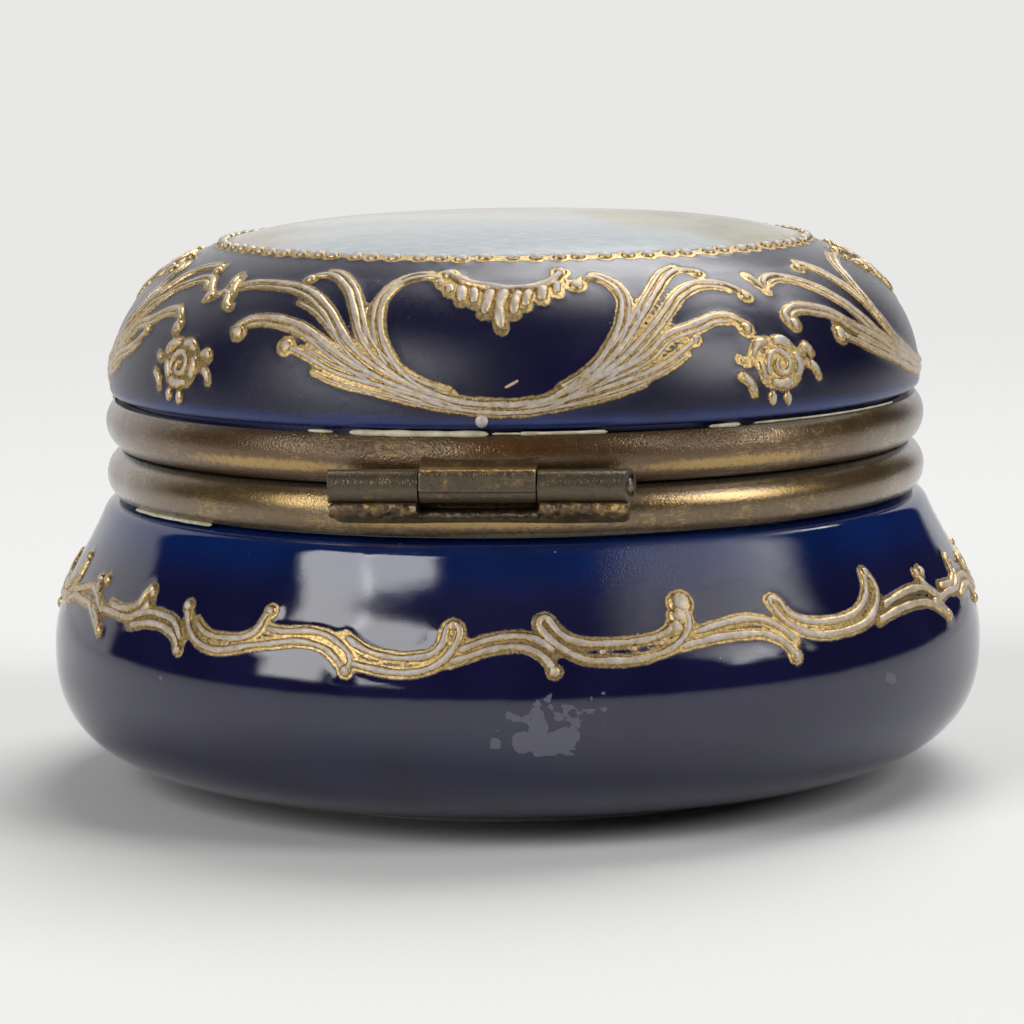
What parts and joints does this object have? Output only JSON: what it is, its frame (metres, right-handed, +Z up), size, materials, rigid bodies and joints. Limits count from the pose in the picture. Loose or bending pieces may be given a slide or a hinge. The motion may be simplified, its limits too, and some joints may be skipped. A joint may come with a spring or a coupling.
{
  "type": "porcelain trinket box",
  "caption": "Round porcelain trinket box with a domed lid; brass collars cemented to bowl and lid are joined by a tube hinge at the back, with a thumbpiece at the front.",
  "frame": {"origin": "centre of the foot's resting plane, under the middle of the bowl", "axes": "+Z up through the lid, -Y to the front where the thumbpiece is, +Y to the hinge at the back, +X to the right seen from the front"},
  "size_m": [0.1, 0.1, 0.06],
  "materials": {
    "bowl_glaze": "glossy cobalt-blue glaze outside, white glaze inside",
    "lid_glaze": "glossy cobalt-blue glaze, slightly scuffed",
    "raised_enamel": "opaque white raised enamel",
    "gilding": "burnished gold paint, worn at its edges",
    "collar_brass": "aged, brown-toned, rubbed bright in places",
    "band_brass": "satin, less tarnished inside the box",
    "hinge_brass": "dull grey-brown patina",
    "pin_brass": "drawn wire, peened ends",
    "cement": "chalky cream setting cement"
  },
  "bodies": {
    "bowl": {"porcelain_bowl": "bowl_glaze", "bowl_cement": "cement", "bowl_rim": "collar_brass", "locating_band": "band_brass", "bowl_hinge_plate": "hinge_brass", "bowl_knuckle_left": "hinge_brass", "bowl_knuckle_right": "hinge_brass", "hinge_pin": "pin_brass"},
    "lid": {"porcelain_lid": "lid_glaze", "lid_cement": "cement", "lid_rim": "collar_brass", "lid_hinge_plate": "hinge_brass", "lid_knuckle": "hinge_brass", "thumbpiece": "collar_brass"}
  },
  "joints": [
    {"name": "lid_hinge", "type": "hinge", "parent": "bowl", "child": "lid", "pos_m": [0, 0.0455, 0.0364], "axis": [-1, 0, 0], "range_deg": [0, 105]}
  ]
}
